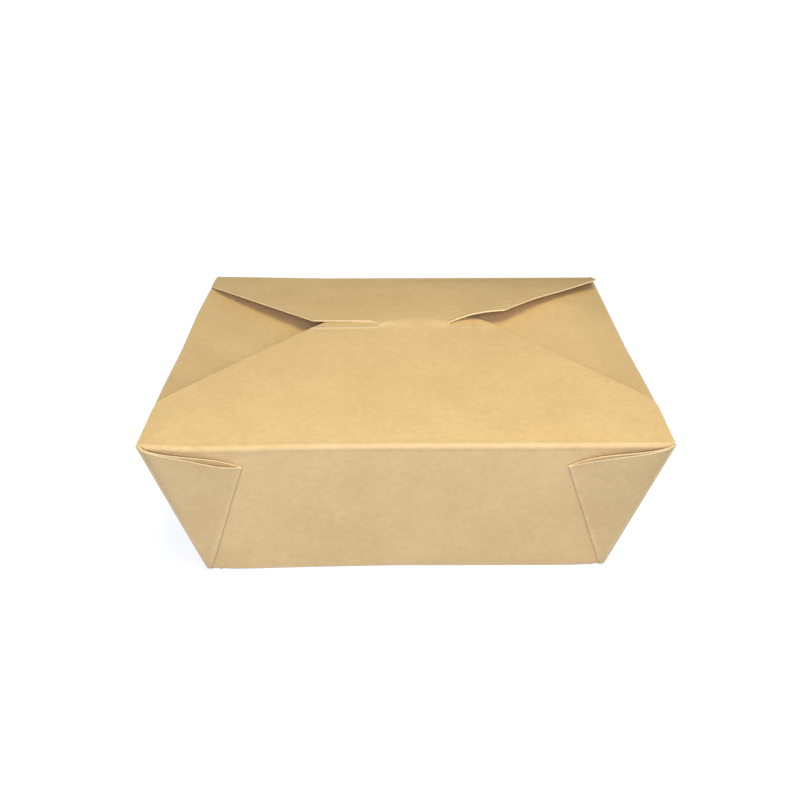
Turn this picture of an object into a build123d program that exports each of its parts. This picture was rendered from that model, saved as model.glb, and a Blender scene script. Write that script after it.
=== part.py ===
import os
from math import atan2, cos, hypot, pi, sin, tan

from build123d import *

os.makedirs("parts", exist_ok=True)

# A paper meal box, folded from one die-cut sheet of kraft board and closed.
# Millimetres, Z up. The origin is the middle of the underside and the front faces -Y.

# The tub
top_width = 172.0  # across the front, at the top creases
top_depth = 147.0  # front crease to back crease
base_width = 145.0
base_depth = 117.0
wall_height = 61.0  # table to the top creases of the long walls

# The sheet
board = 0.5  # thickness of the board
lay_gap = 0.3  # air between layers that lie on each other
crease_radius = 0.4  # inside of a crease
turn_share = 0.48  # outside of a fold through half a turn, as a share of its width

# The corner webs, each folded double against the outside of a long wall
web_tip_share = 0.895  # length of the middle fold, as a share of the corner's length

# The front flap, with the slit of the lock
slit_reach = 86.0  # front crease to the near lip of the slit
slit_width = 4.4
strip_length = 8.2  # near lip to free edge
strip_drop = 1.2  # fall of the strip, under the back flap
front_rise = 2.6  # lift of the flap at the slit
front_side = 27.7  # straight part of the side edges
front_tip_half = 29.8  # half the free edge
front_tip_round = 6.0

# The back flap, with the tongue of the lock
root_gap = 1.0  # far lip of the slit to the free edge
lock_gap = 0.4  # air between the strip and the free edge above it
back_side = 14.5
back_tip_half = 37.3
back_tip_round = 2.0
corner_lift = 4.2  # spring of the right-hand corner, off the front flap
tongue_half = 14.0
tongue_length = 18.0  # lies under the front flap
tongue_round = 5.0
tongue_play = 1.5  # slit longer than the tongue is wide, at each end

# The end flaps, under the other two
end_reach = 68.0
end_side = 6.0
end_tip_half = 40.0
end_tip_round = 12.0
end_droop = 0.8  # fall of the free edge into the box

# Angles of the walls and the webs
width_run = (top_width - base_width) / 2
depth_run = (top_depth - base_depth) / 2
end_lean = atan2(width_run, wall_height)
long_lean = atan2(depth_run, wall_height)
long_side_angle = atan2(width_run, hypot(depth_run, wall_height))
end_side_angle = atan2(depth_run, hypot(width_run, wall_height))
web_half_angle = (pi / 2 - long_side_angle - end_side_angle) / 2
web_fold_angle = web_half_angle - long_side_angle
corner_length = hypot(width_run, depth_run, wall_height)
web_tip_up = cos(web_fold_angle) * web_tip_share * corner_length  # end of the middle fold, up the wall
web_tip_z = web_tip_up * cos(long_lean)

# The board cut level through a leaning wall
end_level = board / cos(end_lean)
long_level = board / cos(long_lean)

# Folds
fold_radius = crease_radius + board / 2  # middle of the board
outer_radius = crease_radius + board
turn_radius = turn_share * (2 * board + lay_gap)
fold_start = 2 * fold_radius  # below a top crease, along the wall
cut_margin = 10 * board  # room past a cut

# Layers at a corner: long wall, inner web, outer web
web_stack = 2 * (board + lay_gap) / cos(long_lean)  # out from the wall, level
web_root = 4 * board + 2 * lay_gap  # width of the webs where they gather at the base
true_growth = width_run / wall_height + tan(web_fold_angle) / cos(long_lean)
web_growth = true_growth - web_root / web_tip_z  # the fold is in its true place at the tip
corner_top = wall_height - board - lay_gap


def half_width(z):
    return base_width / 2 + width_run * z / wall_height


def half_depth(z):
    return base_depth / 2 + depth_run * z / wall_height


def web_tip(z):
    return half_width(z) - web_root - web_growth * z


def outer_turn(z):
    # Fold of the long wall into the inner web, at the outer face of the sheet
    return half_width(z) - 2 * board - lay_gap


def inner_turn(z):
    return half_width(z) - board - lay_gap


def leaning_sides(half_size, low, high):
    # Outline between two leaning lines that are this far from the middle at a level
    return [
        (-half_size(low), low),
        (half_size(low), low),
        (half_size(high), high),
        (-half_size(high), high),
    ]


def up_the_wall(half_size):
    # The same on a long wall, past its lower and upper edges
    return [(x, z / cos(long_lean)) for x, z in leaning_sides(half_size, -cut_margin, wall_height)]


def rising_edges(all_edges):
    # Edges from the base to the top at the corners, the tips of the webs first and the bends last
    rising = all_edges.filter_by(lambda edge: edge.bounding_box().size.Z > wall_height / 2)
    return rising.sort_by(lambda edge: abs(edge.center().X))


corners = 4
fold_edges = 2 * corners  # a fold through half a turn has two edges at each corner

# Planes on the walls, local Y up the slope of the wall and local Z out of the box
front_plane = Plane(
    origin=(0, -base_depth / 2, 0),
    x_dir=(1, 0, 0),
    z_dir=(0, -cos(long_lean), -sin(long_lean)),
)
back_plane = Plane(
    origin=(0, base_depth / 2, 0),
    x_dir=(-1, 0, 0),
    z_dir=(0, cos(long_lean), -sin(long_lean)),
)
right_plane = Plane(
    origin=(base_width / 2, 0, 0),
    x_dir=(0, 1, 0),
    z_dir=(cos(end_lean), 0, -sin(end_lean)),
)
left_plane = Plane(
    origin=(-base_width / 2, 0, 0),
    x_dir=(0, -1, 0),
    z_dir=(-cos(end_lean), 0, -sin(end_lean)),
)

# Middle of the board at the top creases, and where the folds start below them
long_crease_z = wall_height - board / 2
long_crease_y = half_depth(long_crease_z) - long_level / 2
long_start_z = long_crease_z - fold_start * cos(long_lean)
long_start_y = half_depth(long_start_z) - long_level / 2
long_start_up = back_plane.to_local_coords(Vector(0, long_start_y, long_start_z)).Y
end_crease_z = corner_top - board / 2
end_crease_x = half_width(end_crease_z) - end_level / 2
end_start_z = end_crease_z - fold_start * cos(end_lean)
end_start_x = half_width(end_start_z) - end_level / 2
end_start_up = right_plane.to_local_coords(Vector(end_start_x, 0, end_start_z)).Y

# Half lengths of the creases, clear of the corner folds
flap_root_half = top_width / 2 - 4 * board
flap_half = top_width / 2 - board
end_root_half = top_depth / 2 - 3 * board
notch = 4 * board  # the side edges stand back beside a crease

# Cut edge of a web, up its wall: from the top of the corner to the end of the middle fold
web_top_x = half_width(corner_top)
web_top_up = corner_top / cos(long_lean)
web_tip_x = web_tip(web_tip_z)
web_cut_slope = (web_top_up - web_tip_up) / (web_top_x - web_tip_x)
web_cut_x = web_top_x + cut_margin
web_cut_up = web_top_up + cut_margin * web_cut_slope
web_cut_low = web_top_up - web_top_x * web_cut_slope

# The lid from front to back, at the middle of the board
slit_y = slit_reach - top_depth / 2
slit_half = tongue_half + tongue_play
far_lip_y = slit_y + slit_width
front_tip_y = slit_y + strip_length
front_side_y = front_side - top_depth / 2
ridge_z = long_crease_z + front_rise
front_tip_z = ridge_z - strip_drop
back_tip_y = far_lip_y + root_gap
back_tip_z = ridge_z - strip_drop * slit_width / strip_length + board + lock_gap
back_side_y = top_depth / 2 - back_side
back_end_z = back_tip_z + corner_lift * (flap_half - slit_half) / (back_tip_half - slit_half)

# The tongue leaves the back flap, dips through the slit and lies under the front flap
back_slope = (back_tip_z - long_crease_z) / (long_crease_y - back_tip_y)
front_slope = front_rise / (slit_y + long_crease_y)
root_y = back_tip_y + cut_margin
root_z = back_tip_z - back_slope * cut_margin
dip_y = slit_y + board
dip_z = ridge_z - board - lay_gap
tongue_end_y = slit_y - tongue_length
tongue_end_z = dip_z - front_slope * (dip_y - tongue_end_y)

with BuildPart() as hollow:
    # Inner face of the sheet: the space between the end walls and the outer webs,
    # less the long walls and the inner webs that stand in it
    with BuildSketch(Plane.YZ):
        with BuildLine():
            Polyline(
                *leaning_sides(lambda z: half_depth(z) + web_stack - long_level, board, corner_top),
                close=True,
            )
        make_face()
    extrude(amount=top_width, both=True)
    with BuildSketch(Plane.XZ):
        with BuildLine():
            Polyline(
                *leaning_sides(lambda z: half_width(z) - end_level, board, corner_top),
                close=True,
            )
        make_face()
    extrude(amount=top_depth, both=True, mode=Mode.INTERSECT)
    with BuildSketch(front_plane.offset(-board), back_plane.offset(-board)):
        with BuildLine():
            Polyline(*up_the_wall(inner_turn), close=True)
        make_face()
    extrude(amount=2 * board + lay_gap, mode=Mode.SUBTRACT)
    with BuildSketch(front_plane.offset(-board), back_plane.offset(-board)):
        with BuildLine():
            Polyline(*up_the_wall(lambda z: web_tip(z) + board), close=True)
        make_face()
    extrude(amount=cut_margin, mode=Mode.SUBTRACT)
    fillet(rising_edges(edges())[fold_edges : 2 * fold_edges], radius=turn_radius)
    fillet(rising_edges(edges())[-corners:], radius=crease_radius)

with BuildPart() as tub:
    # Outer face of the sheet: end walls and outer webs, cut back to the long walls between
    # the webs and to the air behind the inner webs
    with BuildSketch(Plane.YZ):
        with BuildLine():
            Polyline(*leaning_sides(lambda z: half_depth(z) + web_stack, 0, corner_top), close=True)
        make_face()
    extrude(amount=top_width, both=True)
    with BuildSketch(Plane.XZ):
        with BuildLine():
            Polyline(*leaning_sides(half_width, 0, corner_top), close=True)
        make_face()
    extrude(amount=top_depth, both=True, mode=Mode.INTERSECT)
    with BuildSketch(front_plane, back_plane):
        with BuildLine():
            Polyline(*up_the_wall(outer_turn), close=True)
        make_face()
    extrude(amount=lay_gap, mode=Mode.SUBTRACT)
    with BuildSketch(front_plane, back_plane):
        with BuildLine():
            Polyline(*up_the_wall(web_tip), close=True)
        make_face()
    extrude(amount=cut_margin, mode=Mode.SUBTRACT)
    fillet(rising_edges(edges())[:fold_edges], radius=turn_radius)
    fillet(rising_edges(edges())[-corners:], radius=outer_radius)
    add(hollow.part, mode=Mode.SUBTRACT)
    # The webs are cut off on a slope
    with BuildSketch(front_plane.offset(lay_gap / 2), back_plane.offset(lay_gap / 2)):
        with BuildLine():
            Polyline(
                (web_cut_x, web_cut_up),
                (0, web_cut_low),
                (-web_cut_x, web_cut_up),
                (-web_cut_x, web_cut_up + wall_height),
                (web_cut_x, web_cut_up + wall_height),
                close=True,
            )
        make_face()
    extrude(amount=cut_margin, mode=Mode.SUBTRACT)
    # The walls end where the folds into the flaps start
    with BuildSketch(front_plane.offset(lay_gap / 2), back_plane.offset(lay_gap / 2)):
        with Locations((0, long_start_up)):
            Rectangle(2 * flap_root_half, cut_margin, align=(Align.CENTER, Align.MIN))
    extrude(amount=-lay_gap - 2 * board, mode=Mode.SUBTRACT)
    with BuildSketch(right_plane.offset(lay_gap / 2), left_plane.offset(lay_gap / 2)):
        with Locations((0, end_start_up)):
            Rectangle(2 * end_root_half, cut_margin, align=(Align.CENTER, Align.MIN))
    extrude(amount=-lay_gap - 2 * board, mode=Mode.SUBTRACT)

with BuildPart() as front_flap:
    with BuildSketch(Plane.YZ):
        with BuildLine():
            FilletPolyline(
                (-long_start_y, long_start_z),
                (-long_crease_y, long_crease_z),
                (slit_y, ridge_z),
                (front_tip_y, front_tip_z),
                radius=fold_radius,
            )
        trace(line_width=board)
    extrude(amount=flap_half, both=True)
    with BuildSketch():
        with BuildLine():
            FilletPolyline(
                (flap_root_half, -top_depth / 2 - cut_margin),
                (flap_root_half, -top_depth / 2 + notch),
                (flap_half, -top_depth / 2 + 2 * notch),
                (flap_half, front_side_y),
                (front_tip_half, front_tip_y),
                (-front_tip_half, front_tip_y),
                (-flap_half, front_side_y),
                (-flap_half, -top_depth / 2 + 2 * notch),
                (-flap_root_half, -top_depth / 2 + notch),
                (-flap_root_half, -top_depth / 2 - cut_margin),
                radius=[0, 0, 0, 0, front_tip_round, front_tip_round, 0, 0, 0, 0],
                close=True,
            )
        make_face()
        with Locations((0, slit_y)):
            Rectangle(
                2 * slit_half,
                slit_width,
                align=(Align.CENTER, Align.MIN),
                mode=Mode.SUBTRACT,
            )
    extrude(amount=2 * wall_height, mode=Mode.INTERSECT)

with BuildPart() as back_flap:
    # Flat from the left to the tongue, then turning up to the right
    for section_x, section_z in (
        (-flap_half, back_tip_z),
        (slit_half, back_tip_z),
        (flap_half, back_end_z),
    ):
        with BuildSketch(Plane.YZ.offset(section_x)):
            with BuildLine():
                FilletPolyline(
                    (long_start_y, long_start_z),
                    (long_crease_y, long_crease_z),
                    (back_tip_y, section_z),
                    radius=fold_radius,
                )
            trace(line_width=board)
    loft(ruled=True)
    with BuildSketch():
        with BuildLine():
            FilletPolyline(
                (flap_root_half, top_depth / 2 + cut_margin),
                (flap_root_half, top_depth / 2 - notch),
                (flap_half, top_depth / 2 - 2 * notch),
                (flap_half, back_side_y),
                (back_tip_half, back_tip_y),
                (-back_tip_half, back_tip_y),
                (-flap_half, back_side_y),
                (-flap_half, top_depth / 2 - 2 * notch),
                (-flap_root_half, top_depth / 2 - notch),
                (-flap_root_half, top_depth / 2 + cut_margin),
                radius=[0, 0, 0, 0, back_tip_round, back_tip_round, 0, 0, 0, 0],
                close=True,
            )
        make_face()
    extrude(amount=2 * wall_height, mode=Mode.INTERSECT)

with BuildPart() as tongue:
    with BuildSketch(Plane.YZ):
        with BuildLine():
            FilletPolyline(
                (root_y, root_z),
                (back_tip_y, back_tip_z),
                (dip_y, dip_z),
                (tongue_end_y, tongue_end_z),
                radius=fold_radius,
            )
        trace(line_width=board)
    extrude(amount=tongue_half, both=True)
    with BuildSketch():
        with BuildLine():
            FilletPolyline(
                (tongue_half, root_y + cut_margin),
                (tongue_half, tongue_end_y),
                (-tongue_half, tongue_end_y),
                (-tongue_half, root_y + cut_margin),
                radius=[0, tongue_round, tongue_round, 0],
                close=True,
            )
        make_face()
    extrude(amount=2 * wall_height, mode=Mode.INTERSECT)

with BuildPart() as end_flap:
    with BuildSketch(Plane.XZ):
        with BuildLine():
            FilletPolyline(
                (end_start_x, end_start_z),
                (end_crease_x, end_crease_z),
                (top_width / 2 - end_reach, end_crease_z - end_droop),
                radius=fold_radius,
            )
        trace(line_width=board)
    extrude(amount=end_root_half, both=True)
    with BuildSketch():
        with BuildLine():
            FilletPolyline(
                (top_width / 2 + cut_margin, end_root_half),
                (top_width / 2 - end_side, end_root_half),
                (top_width / 2 - end_reach, end_tip_half),
                (top_width / 2 - end_reach, -end_tip_half),
                (top_width / 2 - end_side, -end_root_half),
                (top_width / 2 + cut_margin, -end_root_half),
                radius=[0, 0, end_tip_round, end_tip_round, 0, 0],
                close=True,
            )
        make_face()
    extrude(amount=2 * wall_height, mode=Mode.INTERSECT)

with BuildPart() as meal_box:
    add(tub.part)
    add(front_flap.part)
    add(back_flap.part)
    add(tongue.part)
    add(end_flap.part)
    add(mirror(end_flap.part, about=Plane.YZ, mode=Mode.PRIVATE))

meal_box.part.label = "meal_box"
export_step(meal_box.part, "parts/meal_box.step")
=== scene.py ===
import math

import bmesh
import bpy
import numpy as np
from mathutils import Matrix


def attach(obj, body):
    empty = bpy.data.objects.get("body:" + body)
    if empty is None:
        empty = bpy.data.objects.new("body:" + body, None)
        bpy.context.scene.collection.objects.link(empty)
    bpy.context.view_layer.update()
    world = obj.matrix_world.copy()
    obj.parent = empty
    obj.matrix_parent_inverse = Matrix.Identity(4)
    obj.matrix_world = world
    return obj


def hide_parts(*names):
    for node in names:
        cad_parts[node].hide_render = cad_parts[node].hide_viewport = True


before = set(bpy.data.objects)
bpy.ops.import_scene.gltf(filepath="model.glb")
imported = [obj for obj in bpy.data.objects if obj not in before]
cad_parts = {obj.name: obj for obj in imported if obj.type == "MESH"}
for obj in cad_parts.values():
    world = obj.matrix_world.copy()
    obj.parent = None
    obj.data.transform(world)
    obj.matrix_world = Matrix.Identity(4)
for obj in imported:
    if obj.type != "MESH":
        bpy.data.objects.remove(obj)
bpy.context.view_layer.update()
print("frame loaded")

metre = 0.001  # sizes of the box are in millimetres, as in the part's source

# The tub
tub = dict(
    topWidth=172.4,
    topDepth=147.0,
    baseWidth=145.0,
    baseDepth=117.0,
    height=61.0,
    board=0.5,
    layGap=0.06,
    longCrease=60.75,  # middle of the board at the top creases
    endCrease=60.2,
    longRadius=1.25,  # middle of the board at a crease
    endRadius=0.6,
    bendRadius=0.9,
    bendFull=2.6,  # length of a web from which its bend has that radius
    baseRadius=0.7,
    baseCornerRadius=2.3,  # the base creases round off at the corners
    baseCornerReach=7.0,
    layersPart=2.5,  # height above the base over which the layers of a web part
    webRoot=0.6,
    webRootHeight=2.0,
    webTipShare=0.895,
    endRootShare=0.972,
    wallBow=0.35,
    longBowShare=0.6,
    leftBow=1.2,  # the left wall's top bows out between its corners
    frontBow={-1: 0.3, 1: 1.1},  # and both end walls' tops towards the front
    frontDip=0.9,  # the front crease is lowest beside the left web
    dipShare=0.25,
)

# How far each corner's folded web stands open at its cut edge
webs = {
    (-1, -1): dict(
        fold=-0.4, tip=0.4, inner=1.9, bulge=0.45, outer=1.4, peak=2.6, rise=1.0, arch=0.0, top=61.25
    ),
    (1, -1): dict(
        fold=-0.1, tip=0.35, inner=2.0, bulge=0.55, outer=0.45, peak=1.2, rise=0.8, arch=1.4, top=61.25
    ),
    (-1, 1): dict(
        fold=0.2, tip=0.8, inner=0.7, bulge=0.6, outer=1.0, peak=1.2, rise=0.2, arch=0.2, top=60.4
    ),
    (1, 1): dict(
        fold=0.2, tip=0.9, inner=0.6, bulge=0.7, outer=1.2, peak=1.5, rise=0.4, arch=0.1, top=60.4
    ),
}

# Slow unevenness: height, then length over 2 pi and phase along x, and the same along y
waves = ((0.11, 17, 1.3, 21, 0.7), (0.07, 8.5, 2, 12, 0.4))

# Strength and reach of the marks that the material reads: lighter folds, partly fold wear and partly painted
# highlight where a rounded fold catches light, worn edges, and painted shade
marks = dict(
    base=0.25,
    baseReach=1.1,
    bend=0.25,
    bendAt=1.0,
    bendReach=0.9,
    webFold=0.35,
    webFoldReach=1.2,
    turn=0.3,
    webEdgeReach=0.7,
    edgeFrom=1.0,
    edgeReach=0.8,
    tongueEdgeReach=0.6,
    # painted shade: the outer webs, the webs' top cut edges and the board beside the long creases are drawn
    # darker
    webShade=0.2,
    webEdgeShade=0.9,
    webEdgeShadeReach=0.3,
    creaseShade=0.45,
    wallShadeReach=0.9,
    flapShadeFrom=0.9,
    flapShadeReach=1.2,
    endCrease=0.1,
    endCreaseFrom=0.6,
    endCreaseReach=1.0,
    far=99.0,  # no mark
)

# Points of the grids along each stretch of the sheet
cells = dict(arc=9, web=23, wall=24, rows=22, base=7, fold=9, flap=44, long=33, longEnd=9, tongue=20)
evenShare = 0.93  # of a wall, evenly divided; the rest is finer
webRepeats = 40  # of the search for a web's cut edge
weldReach = 2e-6  # in metres

widthRun = (tub["topWidth"] - tub["baseWidth"]) / 2
depthRun = (tub["topDepth"] - tub["baseDepth"]) / 2
endLean = math.atan2(widthRun, tub["height"])
longLean = math.atan2(depthRun, tub["height"])
longSide = math.atan2(widthRun, math.hypot(depthRun, tub["height"]))
endSide = math.atan2(depthRun, math.hypot(widthRun, tub["height"]))
webFold = (math.pi / 2 - longSide - endSide) / 2 - longSide
webGrowth = widthRun / tub["height"] + math.tan(webFold) / math.cos(longLean)
cornerLength = math.sqrt(widthRun**2 + depthRun**2 + tub["height"] ** 2)
webTipZ = math.cos(webFold) * tub["webTipShare"] * cornerLength * math.cos(longLean)
layerStep = (tub["board"] + tub["layGap"]) / math.cos(longLean)
floorZ = tub["board"] / 2


def endMiddle(z):
    # x of the middle of an end wall's board: half the base, the flare up to z, less half the board
    return tub["baseWidth"] / 2 + widthRun * z / tub["height"] - tub["board"] / math.cos(endLean) / 2


def longMiddle(z):
    # y of the middle of a long wall's board, likewise
    return tub["baseDepth"] / 2 + depthRun * z / tub["height"] - tub["board"] / math.cos(longLean) / 2


def foldStart(crease, lean, rise, radius):
    # height on a wall where the turn into a flap starts: the tangent length below the crease
    turn = math.pi / 2 + lean - rise
    return crease - radius * math.tan(turn / 2) * math.cos(lean)


def foldPath(lean, rise, radius, steps):
    # turn of the sheet from wall to flap, run = r (sin a0 - sin a), lift = r (cos a - cos a0)
    heading = np.linspace(math.pi / 2 + lean, rise, steps)
    run = radius * (np.sin(heading[0]) - np.sin(heading))
    lift = radius * (np.cos(heading) - np.cos(heading[0]))
    return run, lift


def wave(x, y):
    # sum of a sin(x/p + i) sin(y/q + j), about a tenth of a millimetre
    return sum(a * np.sin(x / p + i) * np.sin(y / q + j) for a, p, i, q, j in waves)


def frontDip(x):
    # -a t^2 exp(2 - 2 t), with t from 0 at the left corner and 1 a quarter of the way to the middle
    t = np.clip(1 + x / (tub["topWidth"] / 2), 0, 2) / tub["dipShare"]
    return -tub["frontDip"] * t**2 * np.exp(2 - 2 * t)


def near(distance, reach):
    # exp(-(d/r)^2), 1 on a line and fading away from it
    return np.exp(-((distance / reach) ** 2))


def smoothStep(t):
    # 3 t^2 - 2 t^3, from 0 to 1 with level ends
    return t * t * (3 - 2 * t)


def rounded(a, b, soft):
    # the smaller of two values, with a rounded corner between them: -k log(exp(-a/k) + exp(-b/k))
    return -soft * np.logaddexp(-a / soft, -b / soft)


def clustered(count, power):
    # 0 to 1, closer together towards both ends
    t = np.linspace(-1, 1, count)
    return 0.5 + 0.5 * np.sign(t) * (1 - (1 - np.abs(t)) ** power)


# The flaps; distances along a flap are from its crease
lid = dict(
    flapHalf=86.3,
    creaseRows=(1.4, 1.7, 2.0, 2.5, 3.0, 3.5, 4.0, 5.0, 6.5),
    rowCluster=1.5,
    rowClear=0.2,
    widenRows=4,  # the width is full this many rows before the end of the turn
    stiffTo=2.0,  # no unevenness up to here
    stiffOver=12.0,
    lineSlack=0.01,
    frontRise=0.0302,
    frontSide=27.7,
    frontTip=94.2,
    frontTipHalf=29.8,
    frontRound=1.2,
    dipReach=9.0,
    tipRound=5.0,
    backRise=0.0555,
    backSide=14.5,
    backTip=55.6,
    backRoot=0.4,  # the back flap is this much narrower than the front one at its crease
    # painted shade: the back flap is drawn darker, more towards its left end
    backWave=(40.0, 73.0),
    backShade=0.1,
    backShadeFall=0.0009,
    backShadeMost=0.2,
    backShadeFrom=2.0,
    backShadeOver=4.0,
)

# The back flap's left and right ends
backEnds = {
    -1: dict(tipHalf=37.2, inset=0.6, soft=0.3),
    1: dict(tipHalf=39.8, inset=1.8, soft=1.2),
}

# The slit in the front flap
slit = dict(
    at=85.0,
    left=-10.3,
    right=17.1,
    open=4.0,
    lift=0.35,  # the lip stands up a little
    liftReach=5.0,
    # a lighter line along the slit: partly pressed board, partly painted highlight
    mark=1.4,
    markReach=0.7,
    markTo=-8.0,  # the pressed line is strong to the left of this
    markFade=4.0,
    markLeast=0.25,
)

# The tongue of the back flap
tongue = dict(
    left=-15.0,
    right=25.0,
    rootLeft=5.2,  # the tongue's root widens this much into the free edge
    rootRight=8.4,
    lip=61.8,  # from the back crease to where the tongue goes under
    lipZ=62.5,
    bend=2.0,  # past the free edge, less the arch
    arch=5.2,
    archFrom=-12.5,
    archWidth=29.5,
    besideLeft=-10.0,
    besideRight=17.0,
    besideRise=2.5,
    soft=0.12,
    under=(0.1, 0.25, 0.5, 0.9, 1.4, 1.9, 2.4, 2.7, 2.9, 3.0),  # rows past the lip, over the fall to it
    endFrom=3.3,
    endOver=0.7,
    endPull=4.5,
)

# The end flaps, -1 for the left one and 1 for the right one
ends = dict(
    rise=-0.04,
    reach=68.0,
    side=6.0,
    tipHalf=40.0,
    tipRound=8.0,
    tipPull=6.0,
    sagFrom=1.2,
    sag={-1: 2.2, 1: 0.4},
    sagReach=6.0,
    lift={-1: 0.0, 1: 5.2},  # the right end flap lies up towards the sprung back flap
    liftReach=13.0,
    liftLoss=0.25,
    liftSpan=67.0,
    liftFront=75.0,
    liftOver=110.0,
    liftBack=74.0,
    liftFade=14.0,
    wave=(13.0, 31.0),
    # painted shade: the sunken end flaps are drawn darker
    shade=0.16,
    shadeFront={-1: 0.62, 1: 0.35},  # painted shade, stronger towards the front where the end flaps lie under the front flap
    shadeFrom=10.0,
    shadeOver=36.0,
    shadeStart=0.9,
)

slitHalf = np.interp(slit["at"], [lid["frontSide"], lid["frontTip"]], [lid["flapHalf"], lid["frontTipHalf"]])
lineShares = [
    abs(slit["left"]) / slitHalf,
    slit["right"] / slitHalf,
    abs(tongue["left"]) / backEnds[-1]["tipHalf"],
    tongue["right"] / backEnds[1]["tipHalf"],
]
endPartShare = 0.04
plainShares = np.linspace(0, 1 - endPartShare, cells["long"])
fineShares = 1 - endPartShare * (1 - np.linspace(0, 1, cells["longEnd"])) ** 1.6
longShares = np.unique(np.round(np.concatenate([plainShares, fineShares, lineShares]), 6))
longTop = foldStart(tub["longCrease"], longLean, lid["frontRise"], tub["longRadius"])
endTop = foldStart(tub["endCrease"], endLean, ends["rise"], tub["endRadius"])


def quarter(signX, signY):
    # level section of the sheet from the middle of an end wall to the middle of a long wall,
    # x and y as functions of the place along the section and of the height
    web = webs[(signX, signY)]
    arc = np.linspace(0, 1, cells["arc"])[1:]
    along = np.linspace(0, 1, cells["web"])
    cornerShares = [0.95, 0.962, tub["endRootShare"], 0.98, 0.99, 1.0]
    endShares = np.unique(np.concatenate([np.linspace(0, evenShare, cells["wall"]), cornerShares]))
    parts = [
        ("end", endShares),
        ("bend", arc),
        ("outer", along[1:]),
        ("tip", arc),
        ("inner", along[::-1][1:]),
        ("turn", arc),
        ("long", longShares[::-1][1:]),
    ]
    name = np.concatenate([[n] * len(p) for n, p in parts])
    e = np.concatenate([p for n, p in parts])
    part = {n: name == n for n, p in parts}

    def level(z, inset, k):
        # k picks columns; the layers close up towards the base
        up = np.maximum(z - floorZ, 0)
        shut = 1 - np.exp(-up / tub["layersPart"])
        step = layerStep * shut
        xm = endMiddle(z) - inset
        yw = longMiddle(z) - inset
        root = tub["webRoot"] * (1 - np.exp(-up / tub["webRootHeight"]))
        length = root + (webGrowth + (web["fold"] - tub["webRoot"]) / webTipZ) * up
        rb = tub["bendRadius"] * shut * np.minimum(1, length / tub["bendFull"])
        r = step / 2
        lift = (np.maximum(z, 0) / webTipZ) ** 2
        xc = xm - length + r
        xt = xm - (tub["board"] + tub["layGap"]) * shut - r

        def inner(t):
            bulge = web["inner"] * np.sin(np.pi * t ** web["bulge"]) ** 1.2
            return yw + step + lift * (web["tip"] * t**1.5 + bulge)

        def outer(t):
            bulge = np.sin(np.pi * np.minimum(t, 1) ** web["peak"]) ** 1.2
            return inner(t) + step + lift * web["outer"] * bulge

        ek = e[k]
        zero = np.zeros_like(z)
        if k is part["end"]:
            return xm + zero, ek * (outer(zero) - rb)
        if k is part["bend"]:
            a = ek * np.pi / 2
            return xm - rb + rb * np.cos(a), outer(zero) - rb + rb * np.sin(a)
        if k is part["outer"]:
            return (xm - rb) + (xc - xm + rb) * ek, outer(ek + zero)
        if k is part["tip"]:
            a = np.pi / 2 + ek * np.pi
            one = zero + 1
            return xc + r * np.cos(a), (inner(one) + outer(one)) / 2 + r * np.sin(a)
        if k is part["inner"]:
            return xt + (xc - xt) * ek, inner(ek + zero)
        if k is part["turn"]:
            a = np.pi / 2 - ek * np.pi
            return xt + r * np.cos(a), (yw + inner(zero)) / 2 + r * np.sin(a)
        return ek * xt, yw + zero

    # height of the top of each column; a web's cut edge falls from the corner to the tip,
    # found by repeating z = top - slope (corner - x(z))
    top = np.where(part["long"], longTop, web["top"])
    beside = np.clip((e - tub["endRootShare"]) / (1 - tub["endRootShare"]), 0, 1) ** 3
    top = np.where(part["end"], endTop + (web["top"] - endTop) * beside, top)
    top = np.where(part["turn"], web["top"] + (longTop - web["top"]) * e, top)
    slope = (web["top"] - webTipZ) / (webGrowth * webTipZ + web["fold"])
    for n in ("outer", "inner"):
        k = part[n]
        z = np.full(k.sum(), web["top"])
        for _ in range(webRepeats):
            z = web["top"] - slope * np.maximum(endMiddle(web["top"]) - level(z, 0, k)[0], 0)
        top[k] = z + web["arch"] * np.sin(np.pi * e[k])
    top[part["inner"]] += web["rise"] * np.sin(np.pi * e[part["inner"]] ** 1.8)
    top[part["tip"]] = top[part["outer"]][-1]

    # rows: the crease round the base, then up the wall
    turnRow = np.linspace(0, np.pi / 2, cells["base"])[:, None]
    topShares = [0.95, 0.965, 0.977, 0.986, 0.993, 1.0]
    upRow = np.concatenate([np.linspace(0, evenShare, cells["rows"])[1:], topShares])[:, None]
    toEndCorner = np.where(part["end"], (1 - e) * tub["baseDepth"] / 2, 0)
    toLongCorner = np.where(part["long"], (1 - e) * tub["baseWidth"] / 2, 0)
    atCorner = near(toEndCorner + toLongCorner, tub["baseCornerReach"])
    r = tub["baseRadius"] + (tub["baseCornerRadius"] - tub["baseRadius"]) * atCorner
    zLow = floorZ + r * (1 - np.cos(turnRow))
    zUp = floorZ + r + (top - floorZ - r) * upRow
    z = np.concatenate([zLow, zUp])
    inset = np.concatenate([r * (1 - np.sin(turnRow)), np.zeros_like(zUp)])
    x = np.zeros_like(z)
    y = np.zeros_like(z)
    for k in part.values():
        x[:, k], y[:, k] = level(z[:, k], inset[:, k], k)

    # the walls bow out a little between their creases
    high = z / tub["height"]
    bow = tub["wallBow"] * np.sin(np.pi * np.clip(high, 0, 1))
    if signX < 0:
        bow = bow + np.where(part["end"], tub["leftBow"] * high**2, 0)
    x = x + np.where(part["end"], bow * (1 - e**4), 0)
    if signY < 0:
        x = x + np.where(part["end"], tub["frontBow"][signX] * np.sin(np.pi * e**1.3) * high**2, 0)
        z = z + np.where(part["long"], frontDip(signX * x) * (z / longTop) ** 8, 0)
    y = y + np.where(part["long"], bow * (1 - e**2) * tub["longBowShare"], 0)
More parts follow.
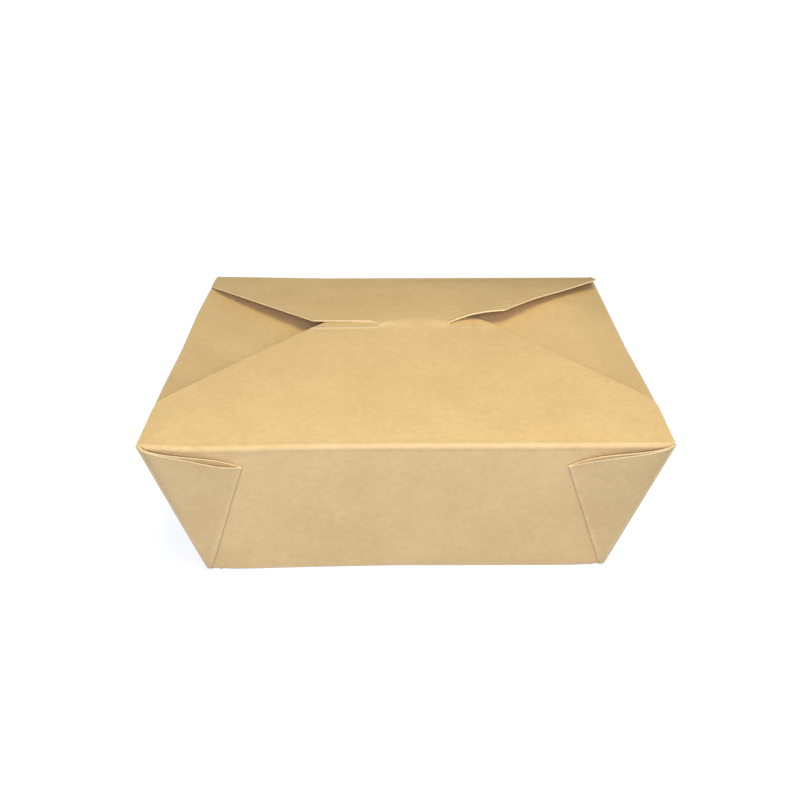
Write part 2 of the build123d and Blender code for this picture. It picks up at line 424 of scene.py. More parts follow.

    # marks for the material: lighter folds (partly fold wear, partly painted highlight), cut edges and
    # painted shade
    down = top - z
    crease = marks["base"] * near(np.maximum(z - floorZ - r / 2, 0), marks["baseReach"])
    pastBend = np.where(part["outer"], endMiddle(z) - marks["bendAt"] - x, marks["far"])
    fromBend = np.where(part["end"], (1 - e) * y.max(), pastBend)
    crease = np.maximum(crease, marks["bend"] * near(fromBend, marks["bendReach"]))
    # lighter band along a web's fold line: painted highlight where the rounded fold catches light
    foldLine = endMiddle(z) - webGrowth * z - web["fold"]
    fromFold = np.where(part["outer"] | part["inner"], x - foldLine, marks["far"])
    crease = np.maximum(crease, marks["webFold"] * near(fromFold, marks["webFoldReach"]))
    isTurn = part["bend"] | part["tip"] | part["turn"]
    crease = np.maximum(crease, np.where(isTurn, marks["turn"], 0))
    underFlap = part["end"] & (e <= tub["endRootShare"])
    edge = np.where(part["long"] | underFlap, 0, near(down, marks["webEdgeReach"]))
    # painted shade on the outer web, along the webs' top cut edges and below the long walls' top creases
    edgeShade = marks["webEdgeShade"] * near(down, marks["webEdgeShadeReach"])
    paintedShade = np.where(part["outer"], marks["webShade"], 0)
    paintedShade = paintedShade + np.where(part["long"] | part["end"], 0, edgeShade)
    paintedShade = paintedShade + np.where(part["long"], marks["creaseShade"] * near(down, marks["wallShadeReach"]), 0)
    lastTurn = np.arange(len(e)) == np.flatnonzero(part["turn"])[-1]
    return dict(
        points=np.stack([signX * x, signY * y, z], axis=-1),
        crease=crease,
        edge=edge,
        paintedShade=paintedShade,
        end=underFlap,
        wall=part["end"],
        long=part["long"] | lastTurn,
    )


quarters = {key: quarter(*key) for key in webs}
print("tub worked out")


def rowAcross(first, second, mask, row):
    # one row of two neighbouring quarters that share their last or first column
    a = quarters[first]["points"][row][quarters[first][mask]]
    b = quarters[second]["points"][row][quarters[second][mask]]
    if mask == "long":
        return np.concatenate([a, b[::-1][1:]])
    return np.concatenate([a[::-1], b[1:]])


frontRoot = rowAcross((-1, -1), (1, -1), "long", -1)  # left to right
backRoot = rowAcross((-1, 1), (1, 1), "long", -1)
rightRoot = rowAcross((1, -1), (1, 1), "end", -1)  # front to back
leftRoot = rowAcross((-1, -1), (-1, 1), "end", -1)


def rowPlaces(length):
    # distances from the crease, close together beside it and towards the free edge
    spread = length * clustered(cells["flap"], lid["rowCluster"])
    return np.unique(np.round(np.concatenate([lid["creaseRows"], spread]), 4))


def flapRows(lean, rise, radius, places):
    # run and lift from the start of the turn, and distance from the crease,
    # for the turn and then the flat panel
    run, lift = foldPath(lean, rise, radius, cells["fold"])
    tangent = radius * math.tan((math.pi / 2 + lean - rise) / 2)
    past = tangent * math.sin(lean)
    reach = run[-1] + past
    s = places[places > reach + lid["rowClear"]]
    runs = np.concatenate([run, s - past])
    lifts = np.concatenate([lift, lift[-1] + (s - reach) * math.tan(rise)])
    return runs, lifts, runs + past, len(run)


def rootHalves(root, full, rows, turns):
    # half width beside the crease: it grows from the end of the wall's top
    # to the flap's own width within the turn
    grow = np.clip(np.arange(rows) / (turns - lid["widenRows"]), 0, 1)
    return root + (full - root) * smoothStep(grow)


def taper(s, side, tip, tipHalf):
    # half width along the slanting side edge
    return lid["flapHalf"] - (s - side) * (lid["flapHalf"] - tipHalf) / (tip - side)


def loosened(s):
    # how far a panel is free to be uneven, from 0 beside its crease to 1
    return np.clip((s - lid["stiffTo"]) / lid["stiffOver"], 0, 1)


def creaseShade(s):
    # painted shade beside a long crease
    return marks["creaseShade"] * near(np.maximum(s - marks["flapShadeFrom"], 0), marks["flapShadeReach"])


def slitMark(fromSlit, x):
    # pressed line along the slit, strong to the left of the tongue, drawn lighter: partly pressed board,
    # partly painted highlight on the lip
    strength = np.clip((slit["markTo"] - x) / slit["markFade"], slit["markLeast"], 1)
    return slit["mark"] * near(fromSlit, slit["markReach"]) * strength


# The strip of the front flap past the slit
strip = dict(
    slope=0.035,
    bend=1.2,
    rise=0.07,  # on the right it goes up with the sprung flap
    riseFrom=12.0,
    riseOver=12.0,
    press=0.95,  # the tongue presses it down between the slit's ends
    pressFade=0.55,
    rowShares=(0, 0.05, 0.12, 0.22, 0.34, 0.46, 0.58, 0.7, 0.8, 0.88, 0.94, 0.975, 1.0),
)


def frontFlap():
    # x = share * halfWidth(s), z = straight rise + unevenness, and the lip of the slit stands up a little
    share = frontRoot[:, 0] / frontRoot[:, 0].max()
    places = rowPlaces(slit["at"])
    run, lift, s, turns = flapRows(longLean, lid["frontRise"], tub["longRadius"], places)
    side = rootHalves(frontRoot[:, 0].max(), lid["flapHalf"], len(s), turns)
    slant = taper(s, lid["frontSide"], lid["frontTip"], lid["frontTipHalf"])
    half = rounded(side, slant, lid["frontRound"])[:, None]
    s = s[:, None]
    x = share[None, :] * half
    y = frontRoot[None, :, 1] + run[:, None] + 0 * x
    level = longTop + (frontRoot[None, :, 2] - longTop) * np.exp((s[0] - s) / lid["dipReach"])
    z = level + lift[:, None] + loosened(s) * wave(x, y)
    middle = (slit["left"] + slit["right"]) / 2
    across = np.clip((x - middle) / ((slit["right"] - slit["left"]) / 2), -1, 1)
    z = z + slit["lift"] * (1 - across**2) * np.exp(-(slit["at"] - s) / slit["liftReach"])
    main = dict(
        points=np.stack([x, y, z], -1),
        crease=slitMark(slit["at"] - s, x),
        edge=near(half - np.abs(x), marks["edgeReach"]) * (s > marks["edgeFrom"]),
        paintedShade=creaseShade(s),
    )

    # the strip past the slit bends down under the back flap;
    # between the slit's ends it starts clear of the lip
    slack = lid["lineSlack"]
    inSlit = (x[-1] > slit["left"] + slack) & (x[-1] < slit["right"] - slack)
    along = np.array(strip["rowShares"])[:, None]
    start = np.where(inSlit, slit["at"] + slit["open"], slit["at"])[None, :]
    past = np.clip(1 + (np.abs(share) - 1) * lid["frontTipHalf"] / lid["tipRound"], 0, 1)
    tip = (lid["frontTip"] - lid["tipRound"] * (1 - np.sqrt(1 - past**2)))[None, :]
    s2 = start + (tip - start) * along
    half2 = np.interp(s2, [lid["frontSide"], lid["frontTip"]], [lid["flapHalf"], lid["frontTipHalf"]])
    x2 = share[None, :] * half2
    fromSlit = s2 - slit["at"]
    y2 = y[-1][None, :] + fromSlit
    flat = longTop + lift[-1] + wave(x2, y2)
    rising = np.clip((x2 - strip["riseFrom"]) / strip["riseOver"], 0, 1)
    slope = strip["slope"] - strip["rise"] * rising
    z2 = flat - slope * fromSlit * np.clip(fromSlit / strip["bend"], 0, 1) ** 0.5
    pressed = np.sqrt(np.clip(1 - ((x2 - middle) * 2 / (slit["right"] - slit["left"])) ** 2, 0, 1))
    z2 = z2 - strip["press"] * pressed * (1 - strip["pressFade"] * along)
    points = np.stack([x2, y2, z2], -1)
    points[0, ~inSlit] = main["points"][-1, ~inSlit]
    edge2 = np.maximum(near(half2 - np.abs(x2), marks["edgeReach"]), near(tip - s2, marks["edgeReach"]))
    return [main, dict(points=points, crease=slitMark(fromSlit, x2), edge=edge2)]


# How the right half of the back flap springs up
spring = dict(
    step=4.2,
    at=24.5,
    spread=3.2,
    spreadMore=12.0,
    side=1.2,
    sideFrom=30.0,
    sideOver=25.0,
    corner=2.4,
    cornerFrom=64.0,
    cornerOver=20.0,
    start=1.5,
    startOver=7.0,
)


def springUp(x, u):
    # the back flap's right half springs up: a step beside the tongue that spreads towards the crease,
    # a / (1 + exp(-(x - b) / c)), then a gentle rise to the side and a steeper one at the corner
    out = np.clip(u / lid["backTip"], 0, 1)
    spread = spring["spread"] + spring["spreadMore"] * (1 - out)
    step = spring["step"] / (1 + np.exp(-(x - spring["at"]) / spread))
    side = spring["side"] * np.clip((x - spring["sideFrom"]) / spring["sideOver"], 0, 1)
    corner = spring["corner"] * np.clip((x - spring["cornerFrom"]) / spring["cornerOver"], 0, 1) ** 2
    start = np.clip((u - spring["start"]) / spring["startOver"], 0, 1)
    return (step + (side + corner)) * (1 - (1 - out) ** 2) * smoothStep(start)


def tonguePlane(x, u, flat):
    # the tongue runs straight down to the lip from a bend that arches across the flap:
    # z = lipZ + slope (lip - u), and past its sides the plane turns up out of the way
    t = np.clip((x - tongue["archFrom"]) / tongue["archWidth"], 0, 1)
    bend = lid["backTip"] + tongue["bend"] - tongue["arch"] * np.sin(np.pi * t**1.5)
    top = flat(bend) + springUp(x, bend)
    slope = (top - tongue["lipZ"]) / (tongue["lip"] - bend)
    beside = np.maximum(tongue["besideLeft"] - x, 0) + np.maximum(x - tongue["besideRight"], 0)
    return tongue["lipZ"] + slope * (tongue["lip"] - u) + tongue["besideRise"] * beside


def backFlap():
    # x = share * halfWidth(u), z = the lower of the sprung flap and the plane of the tongue, with a soft bend
    share = backRoot[:, 0] / backRoot[:, 0].max()
    places = rowPlaces(lid["backTip"])
    run, lift, u, turns = flapRows(longLean, lid["backRise"], tub["longRadius"], places)
    side = rootHalves(backRoot[:, 0].max(), lid["flapHalf"] - lid["backRoot"], len(u), turns)

    def endHalf(end):
        slant = taper(u, lid["backSide"], lid["backTip"], end["tipHalf"])
        return rounded(np.minimum(side, lid["flapHalf"] - end["inset"]), slant, end["soft"])[:, None]

    half = np.where(share[None, :] < 0, endHalf(backEnds[-1]), endHalf(backEnds[1]))
    x = share[None, :] * half
    y = backRoot[None, :, 1] - run[:, None] + 0 * x
    u = u[:, None]

    def flat(d):
        return backRoot[0, 2] + lift[-1] + (d - u[-1, 0]) * math.tan(lid["backRise"])

    def height(x, u):
        waveX, waveY = lid["backWave"]
        sprung = flat(u) + springUp(x, u) + loosened(u) * wave(x + waveX, waveY - u)
        return rounded(sprung, tonguePlane(x, u, flat), tongue["soft"])

    z = backRoot[None, :, 2] + lift[:, None] + 0 * x
    z[turns:] = height(x[turns:], u[turns:] + 0 * x[turns:])
    # painted shade: the back flap drawn darker, more towards the left and fading in from its crease
    shade = np.clip(lid["backShade"] - lid["backShadeFall"] * x, 0, lid["backShadeMost"])
    shade = shade * np.clip((u - lid["backShadeFrom"]) / lid["backShadeOver"], 0, 1)
    slack = lid["lineSlack"]
    outside = (x < tongue["left"] + slack) | (x > tongue["right"] - slack)
    sideEdge = near(half - np.abs(x), marks["edgeReach"]) * (u > marks["edgeFrom"])
    freeEdge = near(lid["backTip"] - u, marks["edgeReach"]) * outside
    panel = dict(
        points=np.stack([x, y, z], -1),
        edge=np.maximum(sideEdge, freeEdge),
        paintedShade=creaseShade(u) + shade,
    )

    # the tongue goes on from the free edge, down through the slit and along under the front flap;
    # its sides run into the free edge in quarter ellipses
    root = panel["points"][-1]
    root = root[(root[:, 0] > tongue["left"] - slack) & (root[:, 0] < tongue["right"] + slack)]
    fall = tongue["lip"] - lid["backTip"]
    toLip = np.linspace(0, 1, cells["tongue"]) ** 1.5
    q = np.concatenate([toLip, 1 + np.array(tongue["under"])])[:, None]
    across = (root[:, 0] - root[0, 0]) / (root[-1, 0] - root[0, 0])
    widen = np.sqrt(1 - (1 - np.minimum(q, 1)) ** 2)
    pull = tongue["endPull"] * np.clip((q - tongue["endFrom"]) / tongue["endOver"], 0, 1) ** 2
    left = root[0, 0] + tongue["rootLeft"] * widen + pull
    right = root[-1, 0] - tongue["rootRight"] * widen - pull
    xt = left + (right - left) * across[None, :]
    yt = root[None, :, 1] - fall * q
    ut = lid["backTip"] + fall * q
    under = math.tan(lid["frontRise"]) * np.maximum(ut - tongue["lip"], 0)
    zt = height(xt, np.minimum(ut, tongue["lip"]) + 0 * xt) - under
    points = np.stack([xt, yt, zt], -1)
    points[0] = root
    rim = np.minimum(xt - left, right - xt)
    return [panel, dict(points=points, edge=near(rim, marks["tongueEdgeReach"]))]


def endFlap(root, sign):
    # y = share * halfWidth(s), and with p the distance past the crease
    # z = straight fall - a (1 - exp(-p/b)) + c (1 - exp(-p/d)) (1 - f (p/g)^2) back(y) + unevenness
    share = root[:, 1] / root[:, 1].max()
    places = rowPlaces(ends["reach"])
    run, lift, s, turns = flapRows(endLean, ends["rise"], tub["endRadius"], places)
    full = root[:, 1].max()
    half = np.interp(s, [0, ends["side"], ends["reach"]], [full, full, ends["tipHalf"]])
    corner = np.clip((s - ends["reach"] + ends["tipRound"]) / ends["tipRound"], 0, 1)
    half = half - ends["tipPull"] * (1 - np.sqrt(np.clip(1 - corner**2, 0, 1)))
    half[:turns] = full
    half = half[:, None]
    s = s[:, None]
    y = share[None, :] * half
    x = root[None, :, 0] - sign * run[:, None] + 0 * y
    past = np.maximum(s - ends["sagFrom"], 0)
    sag = ends["sag"][sign] * (1 - np.exp(-past / ends["sagReach"]))
    back = np.clip((y + ends["liftFront"]) / ends["liftOver"], 0, 1) ** 2
    back = back * (1 - near(ends["liftBack"] - y, ends["liftFade"]))
    rising = (1 - np.exp(-past / ends["liftReach"])) * (1 - ends["liftLoss"] * (past / ends["liftSpan"]) ** 2)
    sag = sag - ends["lift"][sign] * rising * back
    waveX, waveY = ends["wave"]
    z = root[None, :, 2] + lift[:, None] - sag + loosened(s) * wave(x + waveX, y + waveY)
    fromCrease = np.maximum(s - marks["endCreaseFrom"], 0)
    sideEdge = near(half - np.abs(y), marks["edgeReach"]) * (s > marks["edgeFrom"])
    # painted shade: the end flaps drawn darker, more towards the front
    towardsFront = np.clip((ends["shadeFrom"] - y) / ends["shadeOver"], 0, 1) ** 1.5
    shade = ends["shade"] + ends["shadeFront"][sign] * towardsFront
    return [
        dict(
            points=np.stack([x, y, z], -1),
            crease=marks["endCrease"] * near(fromCrease, marks["endCreaseReach"]),
            edge=np.maximum(sideEdge, near(ends["reach"] - s, marks["edgeReach"])),
            paintedShade=shade * np.clip(s / ends["shadeStart"], 0, 1),
        )
    ]


def basePanel():
    # four-sided patch between the lowest rows of the walls:
    # the sum of the two ruled surfaces less the one through the four corners
    front = rowAcross((-1, -1), (1, -1), "long", 0)
    back = rowAcross((-1, 1), (1, 1), "long", 0)
    left = rowAcross((-1, -1), (-1, 1), "wall", 0)
    right = rowAcross((1, -1), (1, 1), "wall", 0)
    u = ((front[:, 0] - front[0, 0]) / (front[-1, 0] - front[0, 0]))[None, :, None]
    v = ((left[:, 1] - left[0, 1]) / (left[-1, 1] - left[0, 1]))[:, None, None]
    ruled = (1 - v) * front[None] + v * back[None] + (1 - u) * left[:, None] + u * right[:, None]
    frontCorners = (1 - u) * (1 - v) * front[0] + u * (1 - v) * front[-1]
    points = ruled - (frontCorners + (1 - u) * v * back[0] + u * v * back[-1])
    points[0], points[-1] = front, back
    points[:, 0], points[:, -1] = left, right
    crease = np.zeros(points.shape[:2])
    crease[[0, -1], :] = marks["base"]
    crease[:, [0, -1]] = marks["base"]
    return [dict(points=points, crease=crease)]


# The small departures of this box from a true one
settled = dict(
    forward=2.4,  # lower front left corner
    inward=1.0,  # lower end walls
    cornerOut=0.8,  # back left corner of the top
    cornerBack=2.5,
    cornerFrom=36.0,
    cornerOver=44.0,
    cornerDepth=30.0,
)


def settle(points):
    # the lower front left corner stands a little forward and the lower end walls a little in:
    # y falls by a (1 - z/h) where x < 0 and y < 0, |x| falls by b (1 - z/h);
    # the back left corner of the top stands out by (c, d) (z/h)^2
    x, y, z = points[..., 0], points[..., 1], points[..., 2]
    low = np.clip(1 - z / tub["height"], 0, 1)
    half = tub["baseWidth"] / 2
    towardsLeft = np.clip(-x / half, 0, 1) ** 1.4
    towardsFront = np.clip(-y / tub["baseDepth"] * 2, 0, 1)
    forward = settled["forward"] * towardsLeft * towardsFront * low
    inward = settled["inward"] * np.clip(x / half, -1, 1) * low
    corner = np.clip((-x - settled["cornerFrom"]) / settled["cornerOver"], 0, 1)
    corner = corner * np.clip(y / settled["cornerDepth"], 0, 1) * np.clip(z / tub["height"], 0, 1) ** 2
    x = x - inward - settled["cornerOut"] * corner
    y = y - forward + settled["cornerBack"] * corner
    return np.stack([x, y, z], -1)


def joinGrids(name, grids):
    # quads of each grid, then one mesh with the shared rows welded and its faces outward
    points, faces, layers, count = [], [], dict(crease=[], edge=[], paintedShade=[]), 0
    for g in grids:
        m, n = g["points"].shape[:2]
        index = count + np.arange(m * n).reshape(m, n)
        quads = np.stack([index[:-1, :-1], index[:-1, 1:], index[1:, 1:], index[1:, :-1]], -1)
        faces.append(quads.reshape(-1, 4))
        points.append(settle(g["points"]).reshape(-1, 3))
        for label, values in layers.items():
            values.append((g.get(label, 0) + np.zeros((m, n))).ravel())
        count += m * n
    mesh = bpy.data.meshes.new(name)
    mesh.from_pydata((np.concatenate(points) * metre).tolist(), [], np.concatenate(faces).tolist())
    for label, values in layers.items():
        layer = mesh.attributes.new(label, "FLOAT", "POINT")
        layer.data.foreach_set("value", np.concatenate(values).astype(np.float32))
    bm = bmesh.new()
    bm.from_mesh(mesh)
    bmesh.ops.remove_doubles(bm, verts=bm.verts, dist=weldReach)
    bmesh.ops.recalc_face_normals(bm, faces=bm.faces)
    bm.to_mesh(mesh)
    bm.free()
    centre = np.empty((len(mesh.polygons), 3), np.float32)
    normal = np.empty((len(mesh.polygons), 3), np.float32)
    mesh.polygons.foreach_get("center", centre.ravel())
    mesh.polygons.foreach_get("normal", normal.ravel())
    # the lowest face near the middle is part of the base
    middleWeight = 0.01
    underside = np.argmin(centre[:, 2] + middleWeight * np.hypot(centre[:, 0], centre[:, 1]))
    if normal[underside, 2] > 0:
        mesh.flip_normals()
    return mesh


grids = list(quarters.values()) + frontFlap() + backFlap()
grids += endFlap(rightRoot, 1) + endFlap(leftRoot, -1) + basePanel()
sheet = bpy.data.objects.new("mealBoxSheet", joinGrids("mealBoxSheet", grids))
bpy.context.scene.collection.objects.link(sheet)
print("sheet joined", len(sheet.data.vertices))


def socket(group, name, kind, way, value=None):
    made = group.interface.new_socket(name=name, in_out=way, socket_type=kind)
    if value is not None:
        made.default_value = value


def feed(links, value, target):
    # a socket is linked, a plain value is set
    if isinstance(value, bpy.types.NodeSocket):
        links.new(value, target)
    else:
        target.default_value = value


def mixColour(nodes, links, factor, a, b, blend="MIX"):
    node = nodes.new("ShaderNodeMix")
    node.data_type = "RGBA"
    node.blend_type = blend
    for place, value in ((0, factor), (6, a), (7, b)):  # its factor and colour inputs
        feed(links, value, node.inputs[place])
    return node.outputs[2]


def arithmetic(nodes, links, operation, a, b=0.0, clamp=False):
    node = nodes.new("ShaderNodeMath")
    node.operation = operation
    node.use_clamp = clamp
    feed(links, a, node.inputs[0])
    feed(links, b, node.inputs[1])
    return node.outputs[0]


def noise(nodes, links, vector, scale, detail, rough):
    node = nodes.new("ShaderNodeTexNoise")
    node.inputs["Scale"].default_value = scale
    node.inputs["Detail"].default_value = detail
    node.inputs["Roughness"].default_value = rough
    links.new(vector, node.inputs["Vector"])
    return node.outputs["Fac"]


# Kraft pulp; a noise is its scale per metre, detail and roughness
pulpLook = dict(
    broad=(55, 2, 0.55),
    broadShare=0.45,
    small=(420, 3, 0.6),
    smallShare=0.55,
    fibre=(1, 2, 0.5),
    fibreScale=(380, 2300, 2300),
    fibreTurns=((0.3, 0.2, 0.5), (0.1, 1.1, 2.2), (1.2, 0.4, 1.1)),
    speckScale=140,
    speckSize=0.055,
    speckPatch=(60, 1, 0.5),
    smallHeight=0.6,
)


def fibreGroup():
    # cloudy formation, short fibres and rare dark specks
    group = bpy.data.node_groups.new("kraftFibre", "ShaderNodeTree")
    socket(group, "Vector", "NodeSocketVector", "INPUT")
    for name in ("Cloud", "Fibre", "Speck", "Height"):
        socket(group, name, "NodeSocketFloat", "OUTPUT")
    nodes, links = group.nodes, group.links
    inside = nodes.new("NodeGroupInput")
    out = nodes.new("NodeGroupOutput")
    place = inside.outputs["Vector"]
    broad = noise(nodes, links, place, *pulpLook["broad"])
    small = noise(nodes, links, place, *pulpLook["small"])
    broadPart = arithmetic(nodes, links, "MULTIPLY", broad, pulpLook["broadShare"])
    smallPart = arithmetic(nodes, links, "MULTIPLY", small, pulpLook["smallShare"])
    cloud = arithmetic(nodes, links, "ADD", broadPart, smallPart)
    strands = []
    for turn in pulpLook["fibreTurns"]:
        mapping = nodes.new("ShaderNodeMapping")
        mapping.inputs["Rotation"].default_value = turn
        mapping.inputs["Scale"].default_value = pulpLook["fibreScale"]
        links.new(place, mapping.inputs["Vector"])
        strands.append(noise(nodes, links, mapping.outputs["Vector"], *pulpLook["fibre"]))
    fibre = arithmetic(nodes, links, "MAXIMUM", strands[0], strands[1])
    fibre = arithmetic(nodes, links, "MAXIMUM", fibre, strands[2])
    spots = nodes.new("ShaderNodeTexVoronoi")
    spots.inputs["Scale"].default_value = pulpLook["speckScale"]
    links.new(place, spots.inputs["Vector"])
    rare = arithmetic(nodes, links, "LESS_THAN", spots.outputs["Distance"], pulpLook["speckSize"])
    patchy = noise(nodes, links, place, *pulpLook["speckPatch"])
    speck = arithmetic(nodes, links, "MULTIPLY", rare, patchy, True)
    grain = arithmetic(nodes, links, "MULTIPLY", small, pulpLook["smallHeight"])
    height = arithmetic(nodes, links, "ADD", fibre, grain)
    for name, value in (("Cloud", cloud), ("Fibre", fibre), ("Speck", speck), ("Height", height)):
        links.new(value, out.inputs[name])
    return group


wearAndHighlightLook = dict(edge=0.08, patch=0.9, even=0.45, amount=0.7)


def wearAndHighlightGroup():
    # pressed folds and handled edges: the pulp shows lighter where the mark is strong and patchy; along the
    # folds this is partly wear and partly painted highlight where the rounded fold catches light
    group = bpy.data.node_groups.new("foldWearAndHighlight", "ShaderNodeTree")
    socket(group, "Color", "NodeSocketColor", "INPUT")
    socket(group, "Light Color", "NodeSocketColor", "INPUT")
    for name in ("Crease", "Edge", "Patch"):
        socket(group, name, "NodeSocketFloat", "INPUT")
    socket(group, "Amount", "NodeSocketFloat", "INPUT", wearAndHighlightLook["amount"])
    socket(group, "Color", "NodeSocketColor", "OUTPUT")
    socket(group, "Mask", "NodeSocketFloat", "OUTPUT")
    nodes, links = group.nodes, group.links
    inside = nodes.new("NodeGroupInput").outputs
    out = nodes.new("NodeGroupOutput")
    edge = arithmetic(nodes, links, "MULTIPLY", inside["Edge"], wearAndHighlightLook["edge"])
    mark = arithmetic(nodes, links, "MAXIMUM", inside["Crease"], edge)
    patch = arithmetic(nodes, links, "MULTIPLY", inside["Patch"], wearAndHighlightLook["patch"])
    uneven = arithmetic(nodes, links, "ADD", patch, wearAndHighlightLook["even"])
    mark = arithmetic(nodes, links, "MULTIPLY", mark, uneven, True)
    mark = arithmetic(nodes, links, "MULTIPLY", mark, inside["Amount"], True)
    wornAndLit = mixColour(nodes, links, mark, inside["Color"], inside["Light Color"])
    links.new(wornAndLit, out.inputs["Color"])
    links.new(mark, out.inputs["Mask"])
    return group


kraftFibre = fibreGroup()
foldWearAndHighlight = wearAndHighlightGroup()


def colour(r, g, b):
    return (r, g, b, 1.0)


boardLook = dict(
    cloudLow=0.35,
    cloudHigh=0.65,
    strandFrom=0.55,
    strandGain=1.1,
    speck=0.22,
    speckColour=colour(0.30, 0.18, 0.075),
    # colour that the painted shade darkens the board towards
    shadeColour=colour(0.78, 0.77, 0.79),
    # lighter colour of worn edges and of folds, partly painted highlight
    wornAndHighlightColour=colour(0.88, 0.70, 0.40),
    glossShare=0.12,
    specular=0.35,
    bump=0.10,
    bumpHeight=0.0001,
)

faceLook = dict(
    base=colour(0.75, 0.528, 0.234),
    dark=colour(0.665, 0.458, 0.192),
    light=colour(0.79, 0.59, 0.30),
    wearAndHighlight=0.7,
    rough=0.72,
)

cutLook = dict(
    base=colour(0.87, 0.69, 0.37),
    dark=colour(0.81, 0.62, 0.32),
    light=colour(0.92, 0.77, 0.48),
    wearAndHighlight=0.2,
    rough=0.85,
)


def boardMaterial(name, look):
    material = bpy.data.materials.new(name)
    material.use_nodes = True
    nodes, links = material.node_tree.nodes, material.node_tree.links
    surface = nodes["Principled BSDF"]
    place = nodes.new("ShaderNodeTexCoord")
    fibre = nodes.new("ShaderNodeGroup")
    fibre.node_tree = kraftFibre
    links.new(place.outputs["Object"], fibre.inputs["Vector"])
    ramp = nodes.new("ShaderNodeMapRange")
    ramp.inputs["From Min"].default_value = boardLook["cloudLow"]
    ramp.inputs["From Max"].default_value = boardLook["cloudHigh"]
    links.new(fibre.outputs["Cloud"], ramp.inputs["Value"])
    pulp = mixColour(nodes, links, ramp.outputs["Result"], look["dark"], look["base"])
    strand = arithmetic(nodes, links, "SUBTRACT", fibre.outputs["Fibre"], boardLook["strandFrom"])
    strand = arithmetic(nodes, links, "MULTIPLY", strand, boardLook["strandGain"], True)
    pulp = mixColour(nodes, links, strand, pulp, look["light"])
    speck = arithmetic(nodes, links, "MULTIPLY", fibre.outputs["Speck"], boardLook["speck"])
    pulp = mixColour(nodes, links, speck, pulp, boardLook["speckColour"])
    mark = {}
    for label in ("crease", "edge", "paintedShade"):
        attribute = nodes.new("ShaderNodeAttribute")
        attribute.attribute_name = label
        mark[label] = attribute.outputs["Fac"]
    # painted shade: the pulp colour is multiplied darker where the grids ask for painted shade
    pulp = mixColour(nodes, links, mark["paintedShade"], pulp, boardLook["shadeColour"], "MULTIPLY")
    # lighter folds, partly wear and partly painted highlight, and worn edges
    wornAndLit = nodes.new("ShaderNodeGroup")
    wornAndLit.node_tree = foldWearAndHighlight
    wornAndLit.inputs["Light Color"].default_value = boardLook["wornAndHighlightColour"]
    wornAndLit.inputs["Amount"].default_value = look["wearAndHighlight"]
    links.new(pulp, wornAndLit.inputs["Color"])
    links.new(mark["crease"], wornAndLit.inputs["Crease"])
    links.new(mark["edge"], wornAndLit.inputs["Edge"])
    links.new(fibre.outputs["Cloud"], wornAndLit.inputs["Patch"])
    links.new(wornAndLit.outputs["Color"], surface.inputs["Base Color"])
    sheen = arithmetic(nodes, links, "MULTIPLY", fibre.outputs["Fibre"], boardLook["glossShare"])
    rough = arithmetic(nodes, links, "SUBTRACT", look["rough"], sheen)
    links.new(rough, surface.inputs["Roughness"])
    surface.inputs["Specular IOR Level"].default_value = boardLook["specular"]
    bump = nodes.new("ShaderNodeBump")
    bump.inputs["Strength"].default_value = boardLook["bump"]
    bump.inputs["Distance"].default_value = boardLook["bumpHeight"]
    links.new(fibre.outputs["Height"], bump.inputs["Height"])
    links.new(bump.outputs["Normal"], surface.inputs["Normal"])
    return material


sheet.data.materials.append(boardMaterial("kraftFace", faceLook))
sheet.data.materials.append(boardMaterial("kraftCutEdge", cutLook))

# the surface gets the board's thickness, and the cut edges their own finish
sharpFrom = 42  # degrees
thicken = sheet.modifiers.new("board", "SOLIDIFY")
thicken.thickness = tub["board"] * metre
thicken.offset = 0
thicken.use_even_offset = True
thicken.use_quality_normals = True
thicken.material_offset_rim = 1
bpy.context.view_layer.update()
solid = bpy.data.meshes.new_from_object(sheet.evaluated_get(bpy.context.evaluated_depsgraph_get()))
sheet.modifiers.clear()
sheet.data = solid
solid.shade_smooth()
solid.set_sharp_from_angle(angle=math.radians(sharpFrom))
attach(sheet, "root")
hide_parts("meal_box")
print("board thickened", len(solid.polygons))

# Floor in metres: paper that glows to the camera, less so close to the box
ground = dict(half=4, drop=0.0001, grey=0.42, glowFrom=0.12, glowTo=0.45, glowLow=0.72)
half = ground["half"]
floorMesh = bpy.data.meshes.new("floor")
corners = [(-half, -half, 0), (half, -half, 0), (half, half, 0), (-half, half, 0)]
floorMesh.from_pydata(corners, [], [(0, 1, 2, 3)])
floor = bpy.data.objects.new("floor", floorMesh)
floor.location.z = -ground["drop"]
bpy.context.scene.collection.objects.link(floor)
paper = bpy.data.materials.new("floorPaper")
paper.use_nodes = True
nodes, links = paper.node_tree.nodes, paper.node_tree.links
surface = nodes["Principled BSDF"]
surface.inputs["Base Color"].default_value = colour(ground["grey"], ground["grey"], ground["grey"])
surface.inputs["Roughness"].default_value = 1.0
surface.inputs["Specular IOR Level"].default_value = 0.0
surface.inputs["Emission Color"].default_value = colour(1, 1, 1)
seen = nodes.new("ShaderNodeLightPath")
place = nodes.new("ShaderNodeTexCoord")
away = nodes.new("ShaderNodeVectorMath")
away.operation = "LENGTH"
links.new(place.outputs["Object"], away.inputs[0])
spread = nodes.new("ShaderNodeMapRange")
spread.interpolation_type = "SMOOTHSTEP"
spread.inputs["From Min"].default_value = ground["glowFrom"]
spread.inputs["From Max"].default_value = ground["glowTo"]
spread.inputs["To Min"].default_value = ground["glowLow"]
spread.inputs["To Max"].default_value = 1.0
links.new(away.outputs["Value"], spread.inputs["Value"])
glow = arithmetic(nodes, links, "MULTIPLY", seen.outputs["Is Camera Ray"], spread.outputs["Result"])
links.new(glow, surface.inputs["Emission Strength"])
floorMesh.materials.append(paper)


def placed(right, up, back, place):
    # matrix of a light or a camera that looks along -back
    rows = [list(r) + [p] for r, p in zip(np.stack([right, up, back], 1), place)]
    return Matrix(rows + [[0, 0, 0, 1]])


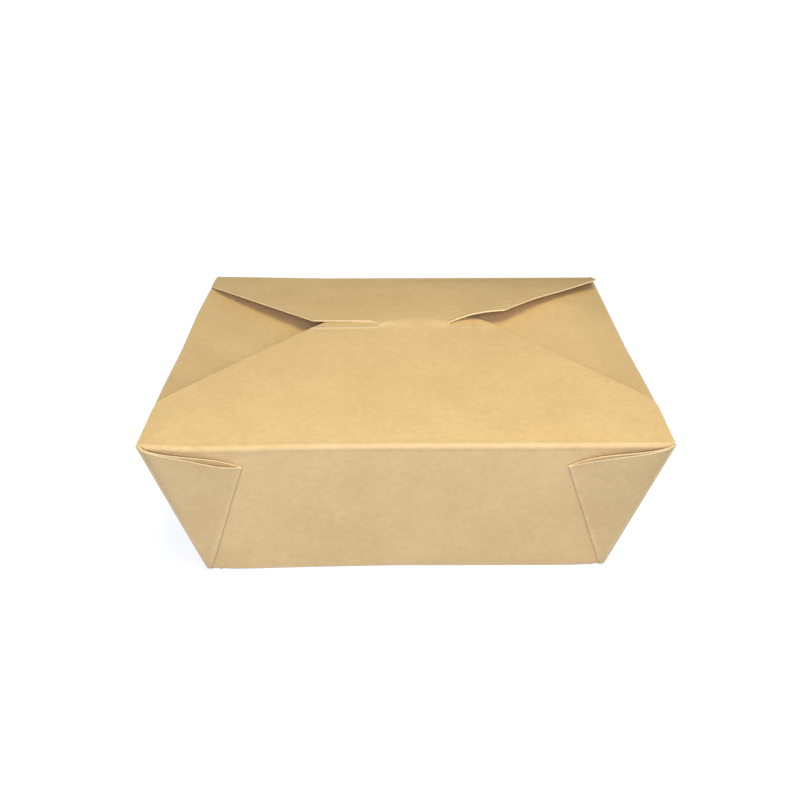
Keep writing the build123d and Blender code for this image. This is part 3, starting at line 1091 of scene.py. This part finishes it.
def lookFrom(place, aim):
    back = np.array(place, float) - np.array(aim, float)
    back /= np.linalg.norm(back)
    right = np.cross((0, 0, 1), back)
    right /= np.linalg.norm(right)
    return placed(right, np.cross(back, right), back, place)


# Studio light, in metres and watts
softboxes = dict(
    overheadSoftbox=dict(
        place=(0.06, -0.24, 0.55), aim=(0, -0.02, 0.05), size=(0.30, 0.24), power=2.1, tint=(1.0, 0.895, 0.55)
    ),
    frontSoftbox=dict(
        place=(0.0, -0.88, 0.47), aim=(0, 0, 0.04), size=(0.40, 0.30), power=8.95, tint=(0.675, 0.735, 1.0)
    ),
)
for name, box in softboxes.items():
    data = bpy.data.lights.new(name, "AREA")
    data.shape = "RECTANGLE"
    data.size, data.size_y = box["size"]
    data.energy = box["power"]
    data.color = box["tint"]
    light = bpy.data.objects.new(name, data)
    light.matrix_world = lookFrom(box["place"], box["aim"])
    bpy.context.scene.collection.objects.link(light)

roomColour = colour(0.20, 0.235, 0.33)
world = bpy.data.worlds.new("studio")
world.use_nodes = True
bpy.context.scene.world = world
nodes, links = world.node_tree.nodes, world.node_tree.links
background = nodes["Background"]
path = nodes.new("ShaderNodeLightPath")
backdrop = mixColour(nodes, links, path.outputs["Is Camera Ray"], roomColour, colour(1, 1, 1))
links.new(backdrop, background.inputs["Color"])
background.inputs["Strength"].default_value = 1.0

# Camera at the photograph's angle, worked out from the box's corners:
# focal length and width in pixels, angles in degrees, the rest in millimetres
view = dict(
    focal=916.77,
    width=800,
    sensor=36.0,
    pitch=28.874,
    yaw=0.379,
    roll=-0.363,
    distance=368.28,
    target=(-2.12, 0.0, 37.01),
    nearest=0.01,
)
pitch, yaw, roll = (math.radians(view[k]) for k in ("pitch", "yaw", "roll"))
back = np.array([math.sin(yaw) * math.cos(pitch), -math.cos(yaw) * math.cos(pitch), math.sin(pitch)])
level = np.array([math.cos(yaw), math.sin(yaw), 0.0])
upright = np.cross(back, level)
right = level * math.cos(roll) + upright * math.sin(roll)
up = upright * math.cos(roll) - level * math.sin(roll)
eye = (np.array(view["target"]) + back * view["distance"]) * metre
lens = bpy.data.cameras.new("photoCamera")
lens.sensor_width = view["sensor"]
lens.lens = view["focal"] / view["width"] * view["sensor"]
lens.clip_start = view["nearest"]
camera = bpy.data.objects.new("photoCamera", lens)
camera.matrix_world = placed(right, up, back, eye)
bpy.context.scene.collection.objects.link(camera)
bpy.context.scene.camera = camera
bpy.context.scene.view_settings.view_transform = "Standard"
print("light and camera set")

bpy.context.view_layer.update()
